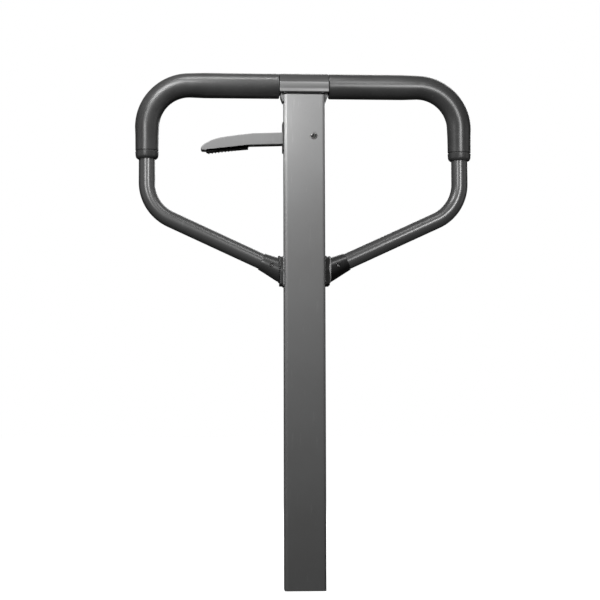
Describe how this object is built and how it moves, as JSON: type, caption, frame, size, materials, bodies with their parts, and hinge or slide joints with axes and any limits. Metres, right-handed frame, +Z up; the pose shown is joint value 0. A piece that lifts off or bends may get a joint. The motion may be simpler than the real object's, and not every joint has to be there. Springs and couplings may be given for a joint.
{
  "type": "pallet truck handle",
  "caption": "Upper handle of a pallet truck: box-section shaft, bent loop with two rubber grips, and a squeeze lever that pulls a rod inside the shaft.",
  "frame": {"origin": "middle of the shaft's lower end", "axes": "+Z up along the shaft, +X to the operator's right, +Y away from the operator"},
  "size_m": [0.415, 0.031, 0.6295],
  "materials": {
    "shaft_paint": "satin grey paint on steel",
    "loop_paint": "satin dark grey paint on steel",
    "lever_paint": "satin grey paint on pressed steel",
    "grip_rubber": "matt black-grey rubber",
    "moulded_black": "fine textured black moulding",
    "guide_nylon": "natural nylon",
    "zinc_plate": "bright zinc plate",
    "spring_steel": "oiled dark spring steel",
    "bush_brass": "plain turned bronze"
  },
  "bodies": {
    "frame": {"shaft_tube": "shaft_paint", "saddle": "shaft_paint", "bridge_cap": "moulded_black", "cap_screw_left": "zinc_plate", "cap_screw_right": "zinc_plate", "slot_grommet": "moulded_black", "upper_guide": "guide_nylon", "foot_guide": "guide_nylon", "upper_guide_screw": "zinc_plate", "foot_guide_screw": "zinc_plate", "threaded_insert_left_1": "zinc_plate", "threaded_insert_left_2": "zinc_plate", "threaded_insert_right_1": "zinc_plate", "threaded_insert_right_2": "zinc_plate", "loop_tube": "loop_paint", "grip_left": "grip_rubber", "grip_right": "grip_rubber", "loop_socket_left": "loop_paint", "loop_socket_right": "loop_paint", "socket_pin_left": "spring_steel", "socket_pin_right": "spring_steel", "pivot_pin": "spring_steel", "pivot_washer_front": "guide_nylon", "pivot_washer_back": "guide_nylon", "detent_leaf_spring": "spring_steel", "leaf_rivet_front": "zinc_plate", "leaf_rivet_back": "zinc_plate", "return_spring": "spring_steel"},
    "lever": {"control_lever": "lever_paint", "lever_pad": "grip_rubber", "pivot_bush": "bush_brass", "roller_pin": "zinc_plate", "link_pin": "zinc_plate", "link_clip": "spring_steel"},
    "roller": {"detent_roller": "zinc_plate"},
    "linkage": {"rod_yoke": "zinc_plate", "yoke_lock_nut": "zinc_plate", "pull_rod": "zinc_plate", "spring_seat": "zinc_plate", "seat_pin": "spring_steel", "coupling_nut": "zinc_plate", "eye_lock_nut": "zinc_plate", "chain_eye_bolt": "zinc_plate"}
  },
  "joints": [
    {"name": "lever_pivot", "type": "hinge", "parent": "frame", "child": "lever", "pos_m": [0.0115, 0, 0.55], "axis": [0, 1, 0], "range_deg": [-8, 14], "stiffness_Nm_per_rad": 2.5, "springref_deg": 2.86},
    {"name": "roller_spin", "type": "hinge", "parent": "lever", "child": "roller", "pos_m": [0.0115, 0, 0.568], "axis": [0, 1, 0], "continuous": true},
    {"name": "rod_slide", "type": "slide", "parent": "frame", "child": "linkage", "axis": [0, 0, 1], "range_m": [-0.0026, 0.0045], "deforming": ["return_spring"]}
  ],
  "couplings": [
    {"joint": "rod_slide", "follows": "lever_pivot", "m_per_rad": 0.0175}
  ]
}
